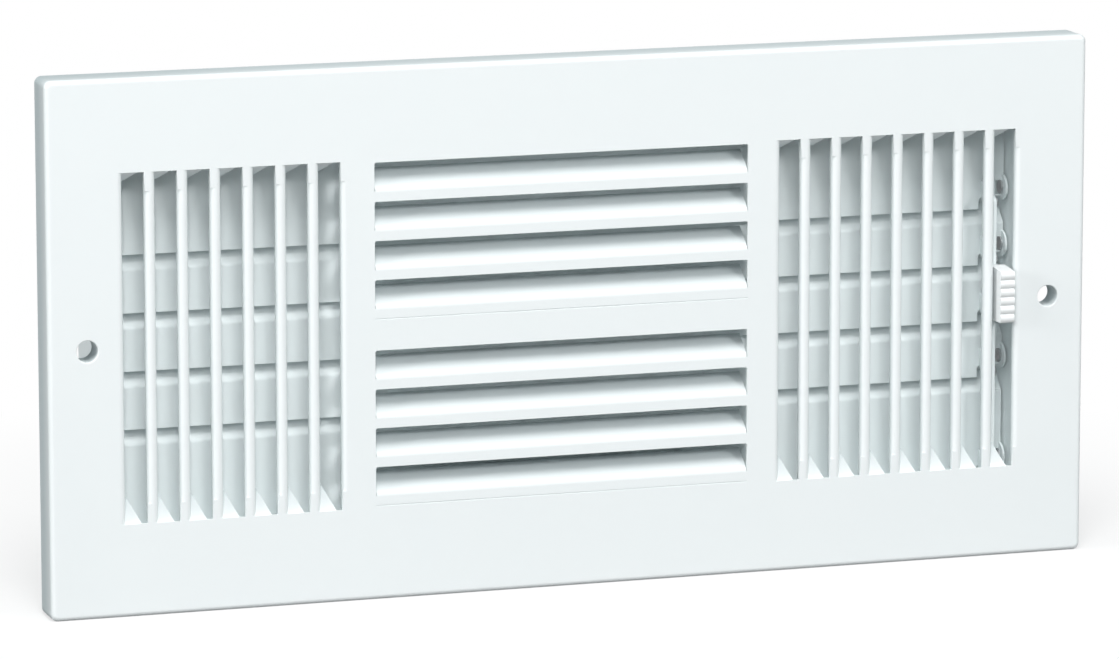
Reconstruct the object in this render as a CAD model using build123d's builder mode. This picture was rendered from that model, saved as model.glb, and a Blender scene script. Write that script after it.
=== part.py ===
"""Stamped steel wall and ceiling register with a multi-blade damper behind its face.

The face is upright and looks along -Y, with its width along X. The origin is on the front of the face,
midway between the two screw holes. Positive Y goes back into the duct.
"""
import os
from math import cos, radians, sin, tan

from build123d import *

# Face plate
face_width = 400.05
face_height = 196.85
border_depth = 15.0
sheet = 0.8
face_corner_radius = 2.6
face_edge_radius = 1.8
screw_hole_radius = 4.0
screw_collar_clearance = 0.9
screw_collar_depth = 10.0
screw_mouth_radius = 0.4

# Upright fins of the two side banks
slot_pitch = 12.2
slot_width = 8.45
slot_end_margin = 10.0
left_slots = 7
right_slots = 8
bank_end_margin = 3.7
fin_depth = 6.4
fin_lean = 8.0
fin_lip_depth = 3.0
fin_bend_radius = 1.1
fin_foot_web_height = 10.5
fin_head_web_height = 4.0
fin_web_share = 0.72
fin_web_sheet = 0.6
fin_gusset_width = 0.3
fin_gusset_height = 7.0

# Level louvres of the centre
centre_gap = 12.5
louvre_pitch = 14.4
louvre_opening = 11.0
louvres_in_group = 4
group_gap = 11.6
louvre_length = 10.4
louvre_rise = 38.0
louvre_bend_radius = 2.2
louvre_end_slit = 0.25
louvre_hole_radius = 0.8
crease_width = 0.5
crease_depth = 0.2

# Damper frame
frame_inset = 24.225
frame_back = 53.0
frame_flange = 4.0
frame_sheet = 0.8
frame_bend_radius = 0.9
corner_tab_length = 10.0
corner_tab_width = 14.0
corner_tab_from_back = 2.0
corner_rivet_radius = 1.6
corner_rivet_head_radius = 2.8
corner_rivet_head = 0.9
corner_rivet_bevel = 0.5

# Damper blades
blade_count = 5
blade_pivot_depth = 18.0
blade_pitch = 21.45
first_lip_height = 25.8
lap_height = 5.6
lap_lip_length = 9.3
lap_lip_angle = 42.0
blade_bend_radius = 1.2
blade_sheet = 0.8
blade_edge_to_pivot = 8.0
blade_end_gap = 0.8
end_blade_gap = 1.8
blade_ear_radius = 5.0
blade_relief = 2.4
blade_notch_corner = 2.0
blade_notch_clearance = 0.875
blade_notch_below_pivot = 3.2
pivot_pin_radius = 1.5
pivot_head_radius = 2.6
pivot_head = 0.7
running_clearance = 0.06

# Linkage and thumb tab
crank_radius = 9.0
crank_angle = 30.0
crank_sheet = 1.0
crank_ear_radius = 3.0
crank_pin_radius = 1.2
crank_pin_head_radius = 2.0
crank_pin_head = 0.6
link_gap = 0.3
tie_bar_sheet = 1.2
tie_bar_width = 5.4
tie_bar_offset = -0.9
arm_height = 8.0
arm_root_radius = 0.4
tab_height = 19.4
tab_width = 5.6
tab_centre_height = 1.0
tab_proud = 4.0
tab_depth = 10.8
tab_top_slope = 6.0
tab_rib_count = 6
tab_rib_height = 0.7
tab_socket_depth = 7.0
tab_socket_clearance = 0.05
tab_edge_radius = 0.5

os.makedirs("parts", exist_ok=True)


# Places worked out from the sizes above: the frame follows the face, and the slots and screws follow the frame
frame_width = face_width - 2 * frame_inset
frame_height = face_height - 2 * frame_inset
slot_height = frame_height - 2 * slot_end_margin
bank_span = frame_width - 2 * bank_end_margin
screw_spacing = frame_width + 2 * (frame_flange + screw_collar_clearance + sheet + screw_hole_radius)
left_edge = -bank_span / 2
left_bank_end = left_edge + (left_slots - 1) * slot_pitch + slot_width
right_edge = bank_span / 2
right_bank_start = right_edge - (right_slots - 1) * slot_pitch - slot_width
centre_left = left_bank_end + centre_gap
centre_right = right_bank_start - centre_gap
centre_middle = (centre_left + centre_right) / 2
centre_width = centre_right - centre_left
last_slot_middle = right_edge - slot_width / 2
group_height = louvres_in_group * louvre_pitch
group_tops = [group_gap / 2 + group_height, -group_gap / 2]
louvre_tops = [top - number * louvre_pitch for top in group_tops for number in range(louvres_in_group)]
bend_reach = fin_bend_radius + sheet

frame_inside_x = frame_width / 2 - frame_sheet
frame_inside_z = frame_height / 2 - frame_sheet
blade_end = frame_inside_x - blade_end_gap
blade_lips = [first_lip_height - number * blade_pitch for number in range(blade_count - 1)]
lip_rise = lap_lip_length * cos(radians(lap_lip_angle))
end_blade_reach = frame_inside_z - end_blade_gap
blade_bottoms = [lip + lap_height for lip in blade_lips] + [-end_blade_reach]
blade_bends = [end_blade_reach - lip_rise] + blade_lips
blade_pivots = [bottom + blade_edge_to_pivot for bottom in blade_bottoms]

crank_back = -crank_radius * cos(radians(crank_angle))
crank_up = -crank_radius * sin(radians(crank_angle))
crank_depth = blade_pivot_depth + crank_back
tie_bar_middle = last_slot_middle + tie_bar_offset
tie_bar_left = tie_bar_middle - tie_bar_sheet / 2
crank_left = tie_bar_left - link_gap - crank_sheet
blade_notch_width = blade_end - crank_left + blade_notch_clearance


def save(part, label):
    """Name a finished piece and write it."""
    part.label = label
    export_step(part, f"parts/{label}.step")


def slot_starts(first, count):
    """Left edges of the slots of one bank."""
    return [first + number * slot_pitch for number in range(count)]


def web_plane(corner, along, tip):
    """Plane through three points, with its origin at the first and X towards the second."""
    side = Vector(*along) - Vector(*corner)
    rise = Vector(*tip) - Vector(*corner)
    return Plane(origin=corner, x_dir=side, z_dir=side.cross(rise))


# Fin between two slots: a rounded channel whose right leg is the long vane and whose left leg is a short lip.
# Its own zero is the left edge of the slot on its right, at mid height.
strip_width = slot_pitch - slot_width
vane_shift = fin_depth * tan(radians(fin_lean))
web_width = slot_width * fin_web_share
web_ends = ((-1, fin_foot_web_height), (1, fin_head_web_height))


def vane_line(start_x):
    """Centre line of a vane that turns back from the sheet at its right edge."""
    return [
        (start_x, sheet / 2),
        (-sheet / 2, sheet / 2),
        (-sheet / 2 + vane_shift, fin_depth),
    ]


def add_webs():
    """Stretched corner webs that close the two ends of a slot beside its vane."""
    for end, web_height in web_ends:
        root = end * (slot_height / 2 + sheet / 2)
        corner = (-sheet / 2, sheet / 2, root)
        along = (web_width, sheet / 2, root)
        tip = (-sheet / 2 + vane_shift, fin_depth - sheet, end * (slot_height / 2 - web_height))
        plane = web_plane(corner, along, tip)
        points = [plane.to_local_coords(Vector(*point)) for point in (corner, along, tip)]
        with BuildSketch(plane) as web:
            Polygon(*[(point.X, point.Y) for point in points], align=None)
        extrude(web.sketch, amount=fin_web_sheet / 2, both=True)


def trim_vane():
    """Cut the two free corners of a vane back to the webs."""
    for end, web_height in web_ends:
        with BuildSketch(Plane.YZ.offset(-bend_reach)) as corner:
            Polygon(
                (bend_reach, end * slot_height / 2),
                (fin_depth + sheet, end * slot_height / 2),
                (fin_depth + sheet, end * (slot_height / 2 - web_height)),
                (fin_depth - sheet, end * (slot_height / 2 - web_height)),
                align=None,
            )
        extrude(corner.sketch, amount=bend_reach + vane_shift + sheet, mode=Mode.SUBTRACT)


def add_gussets(lip_x):
    """Flat corners left where the ends of a lip run out into the sheet."""
    for end in (-1, 1):
        with BuildSketch(Plane.XZ) as gusset:
            Polygon(
                (lip_x + bend_reach, end * slot_height / 2),
                (lip_x - fin_gusset_width, end * slot_height / 2),
                (lip_x, end * (slot_height / 2 - fin_gusset_height)),
                (lip_x + bend_reach, end * (slot_height / 2 - fin_gusset_height)),
                align=None,
            )
        extrude(gusset.sketch, amount=-sheet)


with BuildPart() as fin:
    with BuildSketch(Plane.XY.offset(-slot_height / 2)):
        with BuildLine():
            FilletPolyline(
                (-strip_width + sheet / 2, fin_lip_depth),
                (-strip_width + sheet / 2, sheet / 2),
                *vane_line(0)[1:],
                radius=fin_bend_radius + sheet / 2,
            )
        trace(line_width=sheet)
    extrude(amount=slot_height)
    trim_vane()
    add_webs()
    add_gussets(-strip_width)

with BuildPart() as first_vane:
    with BuildSketch(Plane.XY.offset(-slot_height / 2)):
        with BuildLine():
            FilletPolyline(*vane_line(-2 * bend_reach), radius=fin_bend_radius + sheet / 2)
        trace(line_width=sheet)
    extrude(amount=slot_height)
    trim_vane()
    add_webs()

with BuildPart() as last_lip:
    with BuildSketch(Plane.XY.offset(-slot_height / 2)):
        with BuildLine():
            FilletPolyline(
                (sheet / 2, fin_lip_depth),
                (sheet / 2, sheet / 2),
                (2 * bend_reach, sheet / 2),
                radius=fin_bend_radius + sheet / 2,
            )
        trace(line_width=sheet)
    extrude(amount=slot_height)
    add_gussets(0)

# Louvre tongue of the centre, bent back and up from the top edge of the strip below it.
# Its own zero is the lower edge of its opening.
louvre_turn = 90 - louvre_rise
louvre_corner = (louvre_bend_radius + sheet / 2) * tan(radians(louvre_turn / 2))
louvre_strip = louvre_pitch - louvre_opening
with BuildPart() as louvre:
    with BuildSketch(Plane.YZ.offset(centre_left + louvre_end_slit)):
        with BuildLine():
            FilletPolyline(
                (sheet / 2, -louvre_strip / 2),
                (sheet / 2, louvre_corner),
                (
                    sheet / 2 + louvre_length * cos(radians(louvre_rise)),
                    louvre_corner + louvre_length * sin(radians(louvre_rise)),
                ),
                radius=louvre_bend_radius + sheet / 2,
            )
        trace(line_width=sheet)
    extrude(amount=centre_width - 2 * louvre_end_slit)

# Face plate: one stamped sheet with its border turned back, the fins and louvres, and two drawn screw holes
with BuildPart() as face_plate:
    with BuildSketch(Plane.XZ):
        RectangleRounded(face_width, face_height, face_corner_radius)
    extrude(amount=-border_depth)
    fillet(face_plate.faces().sort_by(Axis.Y)[0].edges(), face_edge_radius)
    offset(amount=-sheet, openings=face_plate.faces().sort_by(Axis.Y)[-1])
    for start, count in ((left_edge, left_slots), (right_bank_start, right_slots)):
        bank_width = (count - 1) * slot_pitch + slot_width
        with BuildSketch(Plane.XZ):
            with Locations((start + bank_width / 2, 0)):
                Rectangle(bank_width + 2 * bend_reach, slot_height)
        extrude(amount=-2 * sheet, mode=Mode.SUBTRACT)
        with Locations((start, 0, 0)):
            add(first_vane.part)
        with Locations(*[(slot_start, 0, 0) for slot_start in slot_starts(start, count)[1:]]):
            add(fin.part)
        with Locations((start + bank_width, 0, 0)):
            add(last_lip.part)
    with BuildSketch(Plane.XZ):
        with Locations(*[(centre_middle, top - louvre_opening / 2) for top in louvre_tops]):
            RectangleRounded(centre_width, louvre_opening, louvre_hole_radius)
    extrude(amount=-2 * sheet, mode=Mode.SUBTRACT)
    with Locations(*[(0, 0, top - louvre_opening) for top in louvre_tops]):
        add(louvre.part)
    with BuildSketch(Plane.XZ):
        with Locations(*[(centre_middle, top - group_height) for top in group_tops]):
            Rectangle(centre_width, crease_width)
    extrude(amount=-crease_depth, mode=Mode.SUBTRACT)
    with BuildSketch(Plane.XZ.offset(-sheet / 2)):
        with GridLocations(screw_spacing, 0, 2, 1):
            Circle(screw_hole_radius + sheet)
    extrude(amount=-screw_collar_depth + sheet / 2)
    with BuildSketch(Plane.XZ):
        with GridLocations(screw_spacing, 0, 2, 1):
            Circle(screw_hole_radius)
    extrude(amount=-screw_collar_depth, mode=Mode.SUBTRACT)
    mouths = face_plate.edges().filter_by(GeomType.CIRCLE).group_by(Axis.Y)[0]
    fillet(mouths.filter_by(lambda edge: abs(edge.radius - screw_hole_radius) < sheet / 4), screw_mouth_radius)
save(face_plate.part, "face_plate")

# Damper frame, top and bottom walls: sheet turned out at the front, where it is welded behind the face plate
flange_depth = sheet + frame_sheet / 2
wall_middle_x = frame_width / 2 - frame_sheet / 2
wall_middle_z = frame_height / 2 - frame_sheet / 2
rivet_x = frame_width / 2 - frame_sheet - corner_tab_length / 2
rivet_y = frame_back - corner_tab_from_back - corner_tab_width / 2
for side, name in ((1, "frame_top"), (-1, "frame_bottom")):
    with BuildPart() as level_wall:
        with BuildSketch(Plane.YZ.offset(-frame_inside_x)):
            with BuildLine():
                FilletPolyline(
                    (flange_depth, side * (frame_height / 2 + frame_flange)),
                    (flange_depth, side * wall_middle_z),
                    (frame_back, side * wall_middle_z),
                    radius=frame_bend_radius + frame_sheet / 2,
                )
            trace(line_width=frame_sheet)
        extrude(amount=2 * frame_inside_x)
        with BuildSketch(Plane.XY.offset(side * wall_middle_z)):
            with Locations((-rivet_x, rivet_y), (rivet_x, rivet_y)):
                Circle(corner_rivet_radius)
        extrude(amount=frame_sheet, both=True, mode=Mode.SUBTRACT)
    save(level_wall.part, name)

# Damper frame, end walls: turned out at the front, with two tabs at the back that lap over the other walls
# and the holes that the blades turn in
for side, name in ((-1, "frame_left"), (1, "frame_right")):
    with BuildPart() as end_wall:
        with BuildSketch(Plane.XY.offset(-frame_height / 2)):
            with BuildLine():
                FilletPolyline(
                    (side * (frame_width / 2 + frame_flange), flange_depth),
                    (side * wall_middle_x, flange_depth),
                    (side * wall_middle_x, frame_back),
                    radius=frame_bend_radius + frame_sheet / 2,
                )
            trace(line_width=frame_sheet)
        extrude(amount=frame_height)
        with BuildSketch(Plane.XZ.offset(corner_tab_from_back - frame_back)):
            with BuildLine():
                FilletPolyline(
                    (side * (frame_inside_x - corner_tab_length), wall_middle_z + frame_sheet),
                    (side * wall_middle_x, wall_middle_z + frame_sheet),
                    (side * wall_middle_x, -wall_middle_z - frame_sheet),
                    (side * (frame_inside_x - corner_tab_length), -wall_middle_z - frame_sheet),
                    radius=frame_sheet / 2,
                )
            trace(line_width=frame_sheet)
        extrude(amount=corner_tab_width)
        with BuildSketch(Plane.XY.offset(-frame_height)):
            with Locations((side * rivet_x, rivet_y)):
                Circle(corner_rivet_radius)
        extrude(amount=2 * frame_height, mode=Mode.SUBTRACT)
        with BuildSketch(Plane.YZ.offset(side * wall_middle_x)):
            with Locations(*[(blade_pivot_depth, height) for height in blade_pivots]):
                Circle(pivot_pin_radius + running_clearance)
        extrude(amount=frame_sheet, both=True, mode=Mode.SUBTRACT)
    save(end_wall.part, name)

# Corner rivets, one through each tab and the wall under it, with a bevelled head outside and a flat one inside
rivet_stack = (
    (-corner_rivet_head, corner_rivet_head, corner_rivet_head_radius),
    (0, 2 * frame_sheet, corner_rivet_radius),
    (2 * frame_sheet, corner_rivet_head, corner_rivet_head_radius),
)
with BuildPart() as corner_rivets:
    for side in (-1, 1):
        for rise, length, radius in rivet_stack:
            with BuildSketch(Plane.XY.offset(side * (frame_inside_z + rise))):
                with Locations((-rivet_x, rivet_y), (rivet_x, rivet_y)):
                    Circle(radius)
            extrude(amount=side * length)
    outer_rims = corner_rivets.edges().filter_by(GeomType.CIRCLE).sort_by(Axis.Z)
    chamfer(outer_rims[:2] + outer_rims[-2:], corner_rivet_bevel)
save(corner_rivets.part, "corner_rivets")

# Damper blades: sheet with its top edge bent back behind the blade above, a round ear at each end for its pivot
# pin, and a crank ear at the right, where the lower corner is notched for the tie bar
lip_back = lap_lip_length * sin(radians(lap_lip_angle))
for number, (bottom, bend, pivot) in enumerate(zip(blade_bottoms, blade_bends, blade_pivots), start=1):
    with BuildPart() as blade:
        with BuildSketch(Plane.YZ.offset(-blade_end)):
            with BuildLine():
                FilletPolyline(
                    (blade_pivot_depth, bottom),
                    (blade_pivot_depth, bend),
                    (blade_pivot_depth + lip_back, bend + lip_rise),
                    radius=blade_bend_radius + blade_sheet / 2,
                )
            trace(line_width=blade_sheet)
        extrude(amount=2 * blade_end)
        with BuildSketch(Plane.XZ.offset(-blade_pivot_depth)):
            with Locations((blade_end, pivot - blade_notch_below_pivot)):
                RectangleRounded(
                    2 * blade_notch_width,
                    2 * (pivot - blade_notch_below_pivot - bottom + blade_notch_corner),
                    blade_notch_corner,
                    align=(Align.CENTER, Align.MAX),
                )
            with Locations((-blade_end, pivot), (blade_end, pivot)):
                Rectangle(2 * (blade_sheet + blade_relief), 2 * (pivot_head_radius + running_clearance))
        extrude(amount=blade_sheet, both=True, mode=Mode.SUBTRACT)
        for start in (-blade_end, blade_end - blade_sheet):
            with BuildSketch(Plane.YZ.offset(start)):
                with Locations((blade_pivot_depth, pivot)):
                    Circle(blade_ear_radius)
                    Circle(pivot_pin_radius, mode=Mode.SUBTRACT)
            extrude(amount=blade_sheet)
        with BuildSketch(Plane.YZ.offset(crank_left)):
            with Locations((blade_pivot_depth, pivot), (crank_depth, pivot + crank_up)):
                Circle(crank_ear_radius)
            make_hull()
            with Locations((crank_depth, pivot + crank_up)):
                Circle(crank_pin_radius, mode=Mode.SUBTRACT)
        extrude(amount=crank_sheet)
    save(blade.part, f"blade_{number}")

    with BuildPart() as pivot_pins:
        for start, direction in ((-blade_end + blade_sheet, -1), (blade_end - blade_sheet, 1)):
            reach = frame_width / 2 + running_clearance - blade_end + blade_sheet
            with BuildSketch(Plane.YZ.offset(start)):
                with Locations((blade_pivot_depth, pivot)):
                    Circle(pivot_pin_radius)
            extrude(amount=direction * reach)
            with BuildSketch(Plane.YZ.offset(start)):
                with Locations((blade_pivot_depth, pivot)):
                    Circle(pivot_head_radius)
            extrude(amount=-direction * pivot_head)
            with BuildSketch(Plane.YZ.offset(start + direction * reach)):
                with Locations((blade_pivot_depth, pivot)):
                    Circle(pivot_head_radius)
            extrude(amount=direction * pivot_head)
    save(pivot_pins.part, f"pivot_pins_{number}")

    with BuildPart() as crank_pin:
        with BuildSketch(Plane.YZ.offset(crank_left)):
            with Locations((crank_depth, pivot + crank_up)):
                Circle(crank_pin_head_radius)
        extrude(amount=-crank_pin_head)
        with BuildSketch(Plane.YZ.offset(crank_left)):
            with Locations((crank_depth, pivot + crank_up)):
                Circle(crank_pin_radius)
        extrude(amount=crank_sheet + tie_bar_sheet + 2 * link_gap)
        with BuildSketch(Plane.YZ.offset(tie_bar_left + tie_bar_sheet + link_gap)):
            with Locations((crank_depth, pivot + crank_up)):
                Circle(crank_pin_head_radius)
        extrude(amount=crank_pin_head)
    save(crank_pin.part, f"crank_pin_{number}")

# Tie bar: flat strip that joins the five cranks, with an arm that reaches forward to the thumb tab
pin_heights = [pivot + crank_up for pivot in blade_pivots]
bar_top = max(pin_heights)
bar_bottom = min(pin_heights)
tab_back = tab_depth - tab_proud
arm_front = tab_back - tab_socket_depth
with BuildPart() as tie_bar:
    with BuildSketch(Plane.YZ.offset(tie_bar_left)):
        with Locations((crank_depth, bar_top), (crank_depth, bar_bottom)):
            Circle(tie_bar_width / 2)
        make_hull()
        with Locations((arm_front, tab_centre_height)):
            Rectangle(crank_depth - arm_front, arm_height, align=(Align.MIN, Align.CENTER))
        with Locations(*[(crank_depth, height) for height in pin_heights]):
            Circle(crank_pin_radius + running_clearance, mode=Mode.SUBTRACT)
    extrude(amount=tie_bar_sheet)
    arm_roots = tie_bar.edges().filter_by(Axis.X).filter_by(
        lambda edge: abs(edge.center().Y - crank_depth + tie_bar_width / 2) < running_clearance
        and abs(abs(edge.center().Z - tab_centre_height) - arm_height / 2) < running_clearance
    )
    fillet(arm_roots, arm_root_radius)
save(tie_bar.part, "tie_bar")

# Thumb tab: moulded block pushed on the arm, with a scalloped grip in front and a top that rises to the back
tab_bottom = tab_centre_height - tab_height / 2
rib_pitch = tab_height / tab_rib_count
grip = tab_rib_height - tab_proud
with BuildPart() as thumb_tab:
    with BuildSketch(Plane.YZ.offset(last_slot_middle - tab_width / 2)):
        with BuildLine():
            for rib in range(tab_rib_count):
                foot = tab_bottom + rib * rib_pitch
                ThreePointArc((grip, foot), (-tab_proud, foot + rib_pitch / 2), (grip, foot + rib_pitch))
            Polyline(
                (grip, tab_bottom + tab_height),
                (tab_back, tab_bottom + tab_height + (tab_back - grip) * tan(radians(tab_top_slope))),
                (tab_back, tab_bottom),
                (grip, tab_bottom),
            )
        make_face()
    extrude(amount=tab_width)
    fillet(thumb_tab.faces().sort_by(Axis.Y)[-1].edges().filter_by(Axis.Z), tab_edge_radius)
    with BuildSketch(Plane.XZ.offset(-tab_back)):
        with Locations((tie_bar_middle, tab_centre_height)):
            Rectangle(tie_bar_sheet + 2 * tab_socket_clearance, arm_height + 2 * tab_socket_clearance)
    extrude(amount=tab_socket_depth + tab_socket_clearance, mode=Mode.SUBTRACT)
save(thumb_tab.part, "thumb_tab")
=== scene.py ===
from math import cos, radians, sin

import bpy
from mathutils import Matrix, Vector


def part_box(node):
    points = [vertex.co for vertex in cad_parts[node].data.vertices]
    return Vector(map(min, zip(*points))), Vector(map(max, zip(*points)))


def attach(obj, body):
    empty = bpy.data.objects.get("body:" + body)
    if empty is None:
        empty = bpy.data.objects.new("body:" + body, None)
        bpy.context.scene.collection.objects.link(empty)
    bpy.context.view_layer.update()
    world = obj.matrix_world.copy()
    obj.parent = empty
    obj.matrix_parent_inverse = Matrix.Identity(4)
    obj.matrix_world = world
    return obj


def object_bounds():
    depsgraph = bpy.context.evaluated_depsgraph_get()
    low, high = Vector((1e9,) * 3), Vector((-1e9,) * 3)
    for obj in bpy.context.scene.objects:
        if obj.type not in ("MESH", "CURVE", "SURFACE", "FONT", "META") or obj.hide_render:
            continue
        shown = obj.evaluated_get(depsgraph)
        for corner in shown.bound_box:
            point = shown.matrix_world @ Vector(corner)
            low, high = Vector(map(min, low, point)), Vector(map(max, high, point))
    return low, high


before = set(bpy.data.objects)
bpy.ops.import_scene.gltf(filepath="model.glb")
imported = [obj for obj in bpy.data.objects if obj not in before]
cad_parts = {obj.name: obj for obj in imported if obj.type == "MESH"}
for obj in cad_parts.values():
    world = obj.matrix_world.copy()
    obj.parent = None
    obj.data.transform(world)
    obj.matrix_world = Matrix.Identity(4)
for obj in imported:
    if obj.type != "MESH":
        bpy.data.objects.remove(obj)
cad_low, cad_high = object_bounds()

# Face plate: one stamped steel sheet with its fins, louvres and turned-back border, sprayed and baked in a
# satin cool white after stamping. The enamel is slightly cloudy and rippled. On the face its colour is also
# painted darker with depth behind the front, a painted shade for the shade in the louvres, slots and holes.
# The damper has the same enamel.
shade_start = 0.0006
shade_full = 0.010
shade_falloff = 0.5
sheen_swing = 0.05
enamel = bpy.data.node_groups.new("baked_enamel", "ShaderNodeTree")
enamel.interface.new_socket("Paint", in_out="INPUT", socket_type="NodeSocketColor")
enamel.interface.new_socket("Thin paint", in_out="INPUT", socket_type="NodeSocketColor")
enamel.interface.new_socket("Painted depth shade", in_out="INPUT", socket_type="NodeSocketColor")
enamel.interface.new_socket("Roughness", in_out="INPUT", socket_type="NodeSocketFloat")
enamel.interface.new_socket("Ripple", in_out="INPUT", socket_type="NodeSocketFloat")
enamel.interface.new_socket("Colour", in_out="OUTPUT", socket_type="NodeSocketColor")
enamel.interface.new_socket("Roughness", in_out="OUTPUT", socket_type="NodeSocketFloat")
enamel.interface.new_socket("Normal", in_out="OUTPUT", socket_type="NodeSocketVector")
enamel_in = enamel.nodes.new("NodeGroupInput")
enamel_out = enamel.nodes.new("NodeGroupOutput")
enamel_place = enamel.nodes.new("ShaderNodeTexCoord")
clouds = enamel.nodes.new("ShaderNodeTexNoise")
clouds.inputs["Scale"].default_value = 28
clouds.inputs["Detail"].default_value = 3
tint = enamel.nodes.new("ShaderNodeMix")
tint.data_type = "RGBA"
axes = enamel.nodes.new("ShaderNodeSeparateXYZ")
# Painted shade: deeper behind the front, the colour is multiplied darker towards a cool grey, standing in for
# the shade in recesses.
depth_shade = enamel.nodes.new("ShaderNodeMapRange")
depth_shade.inputs["From Min"].default_value = shade_start
depth_shade.inputs["From Max"].default_value = shade_full
shade_curve = enamel.nodes.new("ShaderNodeMath")
shade_curve.operation = "POWER"
shade_curve.inputs[1].default_value = shade_falloff
shaded_paint = enamel.nodes.new("ShaderNodeMix")
shaded_paint.data_type = "RGBA"
shaded_paint.blend_type = "MULTIPLY"
peel = enamel.nodes.new("ShaderNodeTexNoise")
peel.inputs["Scale"].default_value = 620
peel.inputs["Detail"].default_value = 2
ripple = enamel.nodes.new("ShaderNodeBump")
ripple.inputs["Distance"].default_value = 0.00012
gloss = enamel.nodes.new("ShaderNodeMapRange")
gloss.inputs["To Min"].default_value = -sheen_swing
gloss.inputs["To Max"].default_value = sheen_swing
sheen = enamel.nodes.new("ShaderNodeMath")
sheen.operation = "ADD"
enamel.links.new(enamel_place.outputs["Object"], clouds.inputs["Vector"])
enamel.links.new(enamel_place.outputs["Object"], peel.inputs["Vector"])
enamel.links.new(clouds.outputs["Fac"], tint.inputs["Factor"])
enamel.links.new(enamel_in.outputs["Paint"], tint.inputs["A"])
enamel.links.new(enamel_in.outputs["Thin paint"], tint.inputs["B"])
enamel.links.new(peel.outputs["Fac"], ripple.inputs["Height"])
enamel.links.new(enamel_in.outputs["Ripple"], ripple.inputs["Strength"])
enamel.links.new(clouds.outputs["Fac"], gloss.inputs["Value"])
enamel.links.new(enamel_in.outputs["Roughness"], sheen.inputs[0])
enamel.links.new(gloss.outputs["Result"], sheen.inputs[1])
enamel.links.new(enamel_place.outputs["Object"], axes.inputs["Vector"])
enamel.links.new(axes.outputs["Y"], depth_shade.inputs["Value"])
enamel.links.new(depth_shade.outputs["Result"], shade_curve.inputs[0])
enamel.links.new(shade_curve.outputs["Value"], shaded_paint.inputs["Factor"])
enamel.links.new(tint.outputs["Result"], shaded_paint.inputs["A"])
enamel.links.new(enamel_in.outputs["Painted depth shade"], shaded_paint.inputs["B"])
enamel.links.new(shaded_paint.outputs["Result"], enamel_out.inputs["Colour"])
enamel.links.new(sheen.outputs["Value"], enamel_out.inputs["Roughness"])
enamel.links.new(ripple.outputs["Normal"], enamel_out.inputs["Normal"])


# A sheet-metal finish: the enamel's varying colour, roughness and normal on a shader of its own.
def enamelled(name, specular, skin_values):
    material = bpy.data.materials.new(name)
    material.use_nodes = True
    tree = material.node_tree
    shader = tree.nodes["Principled BSDF"]
    shader.inputs["Specular IOR Level"].default_value = specular
    skin = tree.nodes.new("ShaderNodeGroup")
    skin.node_tree = enamel
    for socket, value in skin_values.items():
        skin.inputs[socket].default_value = value
    tree.links.new(skin.outputs["Colour"], shader.inputs["Base Color"])
    tree.links.new(skin.outputs["Roughness"], shader.inputs["Roughness"])
    tree.links.new(skin.outputs["Normal"], shader.inputs["Normal"])
    return material


# Gives a finish to every solid whose name begins in one of these ways.
def coat(material, *beginnings):
    for name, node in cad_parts.items():
        if name.startswith(beginnings):
            node.data.materials.clear()
            node.data.materials.append(material)


face_skin = {
    "Paint": (0.86, 0.895, 0.90, 1),
    "Thin paint": (0.84, 0.877, 0.885, 1),
    # Painted shade: the colour the face is darkened to deep behind its front.
    "Painted depth shade": (0.62, 0.67, 0.68, 1),
    "Roughness": 0.36,
    "Ripple": 0.12,
}
face_paint = enamelled("face_paint", specular=0.45, skin_values=face_skin)
coat(face_paint, "face_plate")

# Damper frame, blades and tie bar: steel sheet, sprayed more lightly than the face before it is put together.
# The frame's walls are welded behind the face, the blades turn between them and the bar joins their cranks.
damper_skin = {
    "Paint": (0.90, 0.955, 0.96, 1),
    "Thin paint": (0.86, 0.92, 0.925, 1),
    # White: the damper gets no painted depth shade.
    "Painted depth shade": (1, 1, 1, 1),
    "Roughness": 0.45,
    "Ripple": 0.2,
}
damper_paint = enamelled("damper_paint", specular=0.4, skin_values=damper_skin)
coat(damper_paint, "frame_", "blade_", "tie_bar")

# Spot welds: low round beads in a row along each flange of the damper frame, where it is welded to the face.
# One node tree makes a row of them; each flange has its own row.
weld_tree = bpy.data.node_groups.new("weld_row", "GeometryNodeTree")
weld_tree.interface.new_socket("Geometry", in_out="INPUT", socket_type="NodeSocketGeometry")
weld_tree.interface.new_socket("Count", in_out="INPUT", socket_type="NodeSocketInt")
weld_tree.interface.new_socket("Start", in_out="INPUT", socket_type="NodeSocketVector")
weld_tree.interface.new_socket("Step", in_out="INPUT", socket_type="NodeSocketVector")
weld_tree.interface.new_socket("Radius", in_out="INPUT", socket_type="NodeSocketFloat")
weld_tree.interface.new_socket("Flatness", in_out="INPUT", socket_type="NodeSocketVector")
weld_tree.interface.new_socket("Material", in_out="INPUT", socket_type="NodeSocketMaterial")
weld_tree.interface.new_socket("Geometry", in_out="OUTPUT", socket_type="NodeSocketGeometry")
weld_in = weld_tree.nodes.new("NodeGroupInput")
weld_out = weld_tree.nodes.new("NodeGroupOutput")
weld_line = weld_tree.nodes.new("GeometryNodeMeshLine")
weld_bead = weld_tree.nodes.new("GeometryNodeMeshUVSphere")
weld_bead.inputs["Segments"].default_value = 20
weld_bead.inputs["Rings"].default_value = 10
weld_spread = weld_tree.nodes.new("GeometryNodeInstanceOnPoints")
weld_real = weld_tree.nodes.new("GeometryNodeRealizeInstances")
weld_smooth = weld_tree.nodes.new("GeometryNodeSetShadeSmooth")
weld_paint = weld_tree.nodes.new("GeometryNodeSetMaterial")
weld_tree.links.new(weld_in.outputs["Count"], weld_line.inputs["Count"])
weld_tree.links.new(weld_in.outputs["Start"], weld_line.inputs["Start Location"])
weld_tree.links.new(weld_in.outputs["Step"], weld_line.inputs["Offset"])
weld_tree.links.new(weld_in.outputs["Radius"], weld_bead.inputs["Radius"])
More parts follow.
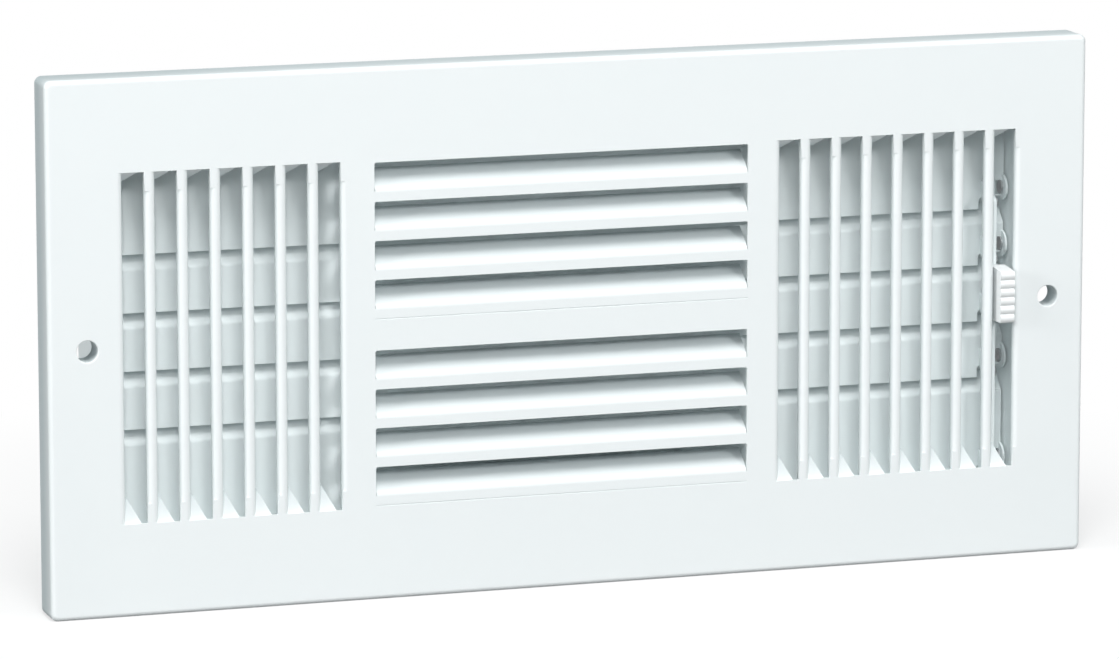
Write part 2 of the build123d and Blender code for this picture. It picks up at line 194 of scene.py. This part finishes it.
weld_tree.links.new(weld_line.outputs["Mesh"], weld_spread.inputs["Points"])
weld_tree.links.new(weld_bead.outputs["Mesh"], weld_spread.inputs["Instance"])
weld_tree.links.new(weld_in.outputs["Flatness"], weld_spread.inputs["Scale"])
weld_tree.links.new(weld_spread.outputs["Instances"], weld_smooth.inputs["Geometry"])
weld_tree.links.new(weld_smooth.outputs["Geometry"], weld_real.inputs["Geometry"])
weld_tree.links.new(weld_real.outputs["Geometry"], weld_paint.inputs["Geometry"])
weld_tree.links.new(weld_in.outputs["Material"], weld_paint.inputs["Material"])
weld_tree.links.new(weld_paint.outputs["Geometry"], weld_out.inputs["Geometry"])
weld_radius = 0.0013
weld_flatness = (1, 0.12, 1)
weld_inset = 0.0018
flange_back = 0.0016
for wall, count, axis in (
    ("frame_top", 7, 0),
    ("frame_bottom", 7, 0),
    ("frame_left", 3, 2),
    ("frame_right", 3, 2),
):
    low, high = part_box(wall)
    middle = (low + high) / 2
    pitch = (high[axis] - low[axis]) / count
    step = Vector((0, 0, 0))
    step[axis] = pitch
    start = Vector((middle.x, flange_back, middle.z))
    start[axis] = low[axis] + pitch / 2
    across = 2 - axis
    start[across] = high[across] - weld_inset if middle[across] > 0 else low[across] + weld_inset
    row = bpy.data.objects.new(f"spot_welds_{wall}", bpy.data.meshes.new(f"spot_welds_{wall}"))
    bpy.context.scene.collection.objects.link(row)
    modifier = row.modifiers.new("welds", "NODES")
    modifier.node_group = weld_tree
    sizes = {
        "Count": count,
        "Start": start,
        "Step": step,
        "Radius": weld_radius,
        "Flatness": weld_flatness,
        "Material": damper_paint,
    }
    for socket in weld_tree.interface.items_tree:
        if socket.in_out == "INPUT" and socket.name in sizes:
            modifier[socket.identifier] = sizes[socket.name]
    row.update_tag()
    solid = row.evaluated_get(bpy.context.evaluated_depsgraph_get())
    row.data = bpy.data.meshes.new_from_object(solid)
    row.modifiers.remove(modifier)
    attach(row, "register")

# Rivets, pivot pins and crank pins: zinc-plated steel, closed over by a press at assembly.
# The plating is a dull grey with faint spangle and finer draw marks.
zinc = bpy.data.materials.new("zinc_plate")
zinc.use_nodes = True
zinc_tree = zinc.node_tree
zinc_shader = zinc_tree.nodes["Principled BSDF"]
zinc_shader.inputs["Metallic"].default_value = 1
zinc_place = zinc_tree.nodes.new("ShaderNodeTexCoord")
spangle = zinc_tree.nodes.new("ShaderNodeTexVoronoi")
spangle.inputs["Scale"].default_value = 700
spangle_tone = zinc_tree.nodes.new("ShaderNodeValToRGB")
spangle_tone.color_ramp.elements[0].color = (0.50, 0.51, 0.52, 1)
spangle_tone.color_ramp.elements[1].color = (0.66, 0.67, 0.68, 1)
draw_marks = zinc_tree.nodes.new("ShaderNodeTexNoise")
draw_marks.inputs["Scale"].default_value = 900
draw_rough = zinc_tree.nodes.new("ShaderNodeMapRange")
draw_rough.inputs["To Min"].default_value = 0.32
draw_rough.inputs["To Max"].default_value = 0.5
zinc_tree.links.new(zinc_place.outputs["Object"], spangle.inputs["Vector"])
zinc_tree.links.new(zinc_place.outputs["Object"], draw_marks.inputs["Vector"])
zinc_tree.links.new(spangle.outputs["Color"], spangle_tone.inputs["Fac"])
zinc_tree.links.new(spangle_tone.outputs["Color"], zinc_shader.inputs["Base Color"])
zinc_tree.links.new(draw_marks.outputs["Fac"], draw_rough.inputs["Value"])
zinc_tree.links.new(draw_rough.outputs["Result"], zinc_shader.inputs["Roughness"])
coat(zinc, "corner_rivets", "pivot_pins_", "crank_pin_")

# Thumb tab: a block moulded in white plastic and pushed on the arm of the tie bar.
# Its skin has the fine grain of the mould and varies a little in tone and sheen.
tab_plastic = bpy.data.materials.new("tab_plastic")
tab_plastic.use_nodes = True
tab_tree = tab_plastic.node_tree
tab_shader = tab_tree.nodes["Principled BSDF"]
tab_shader.inputs["Specular IOR Level"].default_value = 0.4
tab_place = tab_tree.nodes.new("ShaderNodeTexCoord")
tab_grain = tab_tree.nodes.new("ShaderNodeTexNoise")
tab_grain.inputs["Scale"].default_value = 1500
tab_bump = tab_tree.nodes.new("ShaderNodeBump")
tab_bump.inputs["Strength"].default_value = 0.15
tab_bump.inputs["Distance"].default_value = 0.0001
tab_tone = tab_tree.nodes.new("ShaderNodeTexNoise")
tab_tone.inputs["Scale"].default_value = 160
tab_colour = tab_tree.nodes.new("ShaderNodeValToRGB")
tab_colour.color_ramp.elements[0].color = (0.84, 0.86, 0.86, 1)
tab_colour.color_ramp.elements[1].color = (0.88, 0.895, 0.90, 1)
tab_rough = tab_tree.nodes.new("ShaderNodeMapRange")
tab_rough.inputs["To Min"].default_value = 0.4
tab_rough.inputs["To Max"].default_value = 0.52
tab_tree.links.new(tab_place.outputs["Object"], tab_grain.inputs["Vector"])
tab_tree.links.new(tab_place.outputs["Object"], tab_tone.inputs["Vector"])
tab_tree.links.new(tab_grain.outputs["Fac"], tab_bump.inputs["Height"])
tab_tree.links.new(tab_bump.outputs["Normal"], tab_shader.inputs["Normal"])
tab_tree.links.new(tab_tone.outputs["Fac"], tab_colour.inputs["Fac"])
tab_tree.links.new(tab_colour.outputs["Color"], tab_shader.inputs["Base Color"])
tab_tree.links.new(tab_tone.outputs["Fac"], tab_rough.inputs["Value"])
tab_tree.links.new(tab_rough.outputs["Result"], tab_shader.inputs["Roughness"])
coat(tab_plastic, "thumb_tab")

# Studio: a pale floor under the register's lower edge, in a white surround that only the camera sees.
# The floor fades to plain white away from the register and throws back little light of its own.
floor_size = 12.0
half_floor = floor_size / 2
floor_mesh = bpy.data.meshes.new("floor")
floor_mesh.from_pydata(
    [
        (-half_floor, -half_floor, cad_low.z),
        (half_floor, -half_floor, cad_low.z),
        (half_floor, half_floor, cad_low.z),
        (-half_floor, half_floor, cad_low.z),
    ],
    [],
    [(0, 1, 2, 3)],
)
floor = bpy.data.objects.new("floor", floor_mesh)
bpy.context.scene.collection.objects.link(floor)
floor_paint = bpy.data.materials.new("floor_paint")
floor_paint.use_nodes = True
floor_tree = floor_paint.node_tree
floor_tree.nodes.remove(floor_tree.nodes["Principled BSDF"])
pale = floor_tree.nodes.new("ShaderNodeBsdfDiffuse")
pale.inputs["Color"].default_value = (0.92, 0.92, 0.92, 1)
dim = floor_tree.nodes.new("ShaderNodeBsdfDiffuse")
dim.inputs["Color"].default_value = (0.30, 0.30, 0.30, 1)
white = floor_tree.nodes.new("ShaderNodeEmission")
floor_place = floor_tree.nodes.new("ShaderNodeTexCoord")
floor_reach = floor_tree.nodes.new("ShaderNodeVectorMath")
floor_reach.operation = "LENGTH"
fade = floor_tree.nodes.new("ShaderNodeMapRange")
fade.inputs["From Min"].default_value = 0.22
fade.inputs["From Max"].default_value = 0.42
fade.inputs["To Min"].default_value = 0.6
floor_seen = floor_tree.nodes.new("ShaderNodeLightPath")
shown_floor = floor_tree.nodes.new("ShaderNodeMixShader")
whole_floor = floor_tree.nodes.new("ShaderNodeMixShader")
floor_tree.links.new(floor_place.outputs["Object"], floor_reach.inputs[0])
floor_tree.links.new(floor_reach.outputs["Value"], fade.inputs["Value"])
floor_tree.links.new(fade.outputs["Result"], shown_floor.inputs["Fac"])
floor_tree.links.new(pale.outputs["BSDF"], shown_floor.inputs[1])
floor_tree.links.new(white.outputs["Emission"], shown_floor.inputs[2])
floor_tree.links.new(floor_seen.outputs["Is Camera Ray"], whole_floor.inputs["Fac"])
floor_tree.links.new(dim.outputs["BSDF"], whole_floor.inputs[1])
floor_tree.links.new(shown_floor.outputs["Shader"], whole_floor.inputs[2])
floor_tree.links.new(whole_floor.outputs["Shader"], floor_tree.nodes["Material Output"].inputs["Surface"])
floor_mesh.materials.append(floor_paint)

world = bpy.data.worlds.new("studio")
bpy.context.scene.world = world
world.use_nodes = True
world_tree = world.node_tree
surround = world_tree.nodes["Background"]
surround.inputs["Color"].default_value = (1, 1, 1, 1)
surround.inputs["Strength"].default_value = 1
fill = world_tree.nodes.new("ShaderNodeBackground")
fill.inputs["Color"].default_value = (0.82, 0.97, 1, 1)
fill.inputs["Strength"].default_value = 0.17
seen = world_tree.nodes.new("ShaderNodeLightPath")
choose = world_tree.nodes.new("ShaderNodeMixShader")
world_tree.links.new(seen.outputs["Is Camera Ray"], choose.inputs["Fac"])
world_tree.links.new(fill.outputs["Background"], choose.inputs[1])
world_tree.links.new(surround.outputs["Background"], choose.inputs[2])
world_tree.links.new(choose.outputs["Shader"], world_tree.nodes["World Output"].inputs["Surface"])

# Lights: a softbox high in front for the bends and lips, a lower one that reaches the louvres and blades,
# a key from the right, as the shadows in the louvres show, one at the left for the border and a weak one
# behind. Each line gives a light's name, place, width, height and power.
for name, place, width, height, power in (
    ("softbox", (-0.57, -1.71, 3.12), 1.3, 1.7, 88),
    ("front", (-0.94, -2.85, 1.59), 1.2, 1.2, 24),
    ("key", (2.64, -3.52, 1.90), 0.56, 0.56, 70),
    ("side", (-3.00, -0.60, 0.80), 0.8, 0.8, 42),
    ("back", (1.20, 2.60, 1.60), 1.5, 1.5, 10),
):
    lamp = bpy.data.lights.new(name, "AREA")
    lamp.shape = "RECTANGLE"
    lamp.size = width
    lamp.size_y = height
    lamp.energy = power
    light = bpy.data.objects.new(name, lamp)
    bpy.context.scene.collection.objects.link(light)
    light.location = place
    light.rotation_mode = "QUATERNION"
    light.rotation_quaternion = (-Vector(place)).to_track_quat("-Z", "Y")

# Camera: to the left of the face and a little above it, with a long lens, as the photograph was taken.
# The shift is only what the photograph's framing needs.
azimuth = radians(18.26)
elevation = radians(10.21)
distance = 2.398
camera_data = bpy.data.cameras.new("camera")
camera_data.sensor_width = 36
camera_data.lens = 210.1
camera_data.shift_x = -0.0174
camera_data.shift_y = -0.0056
camera = bpy.data.objects.new("camera", camera_data)
bpy.context.scene.collection.objects.link(camera)
outward = Vector((-sin(azimuth) * cos(elevation), -cos(azimuth) * cos(elevation), sin(elevation)))
camera.location = distance * outward
camera.rotation_mode = "QUATERNION"
camera.rotation_quaternion = (-outward).to_track_quat("-Z", "Y")
bpy.context.scene.camera = camera
bpy.context.scene.view_settings.view_transform = "Standard"
